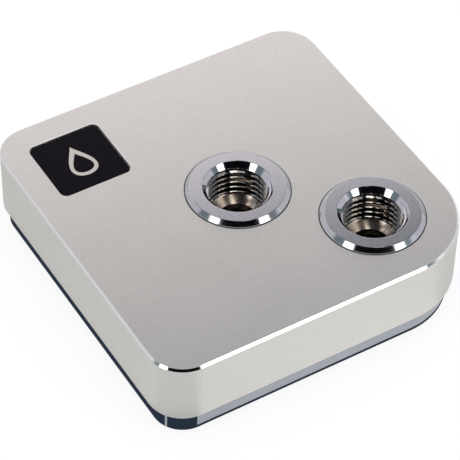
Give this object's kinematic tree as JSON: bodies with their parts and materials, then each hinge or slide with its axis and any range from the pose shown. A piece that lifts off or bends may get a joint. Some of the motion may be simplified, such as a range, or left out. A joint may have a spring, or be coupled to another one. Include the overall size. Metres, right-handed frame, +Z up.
{
  "type": "liquid cooling cold plate",
  "caption": "Square liquid cooling cold plate: finned metal plate under a flow body and a satin cover, with two pipe thread ports on polished collars and a small sunk badge.",
  "frame": {"origin": "centre of the cover's square outline, on the plate's contact face", "axes": "+Z up out of the ports; +X and +Y along the cover's edges; the outlet stands in the corner at +X, -Y"},
  "size_m": [0.072, 0.072, 0.0198],
  "materials": {
    "cover_satin": "satin",
    "port_chrome": "polished",
    "plate_nickel": "polished",
    "body_black": "matte",
    "seal_rubber": "matte",
    "sheet_steel": "satin",
    "screw_steel": "satin",
    "badge_black": "satin",
    "adhesive_film": "matte"
  },
  "bodies": {
    "root": {"cover": "cover_satin", "flow_body": "body_black", "cold_plate": "plate_nickel", "main_seal": "seal_rubber", "jet_plate": "sheet_steel", "jet_gasket": "seal_rubber", "badge": "badge_black", "badge_adhesive": "adhesive_film", "inlet_insert": "port_chrome", "outlet_insert": "port_chrome", "inlet_seal": "seal_rubber", "outlet_seal": "seal_rubber", "base_screw_1": "screw_steel", "base_screw_2": "screw_steel", "base_screw_3": "screw_steel", "base_screw_4": "screw_steel", "base_screw_5": "screw_steel", "base_screw_6": "screw_steel", "base_screw_7": "screw_steel", "base_screw_8": "screw_steel"}
  },
  "joints": []
}
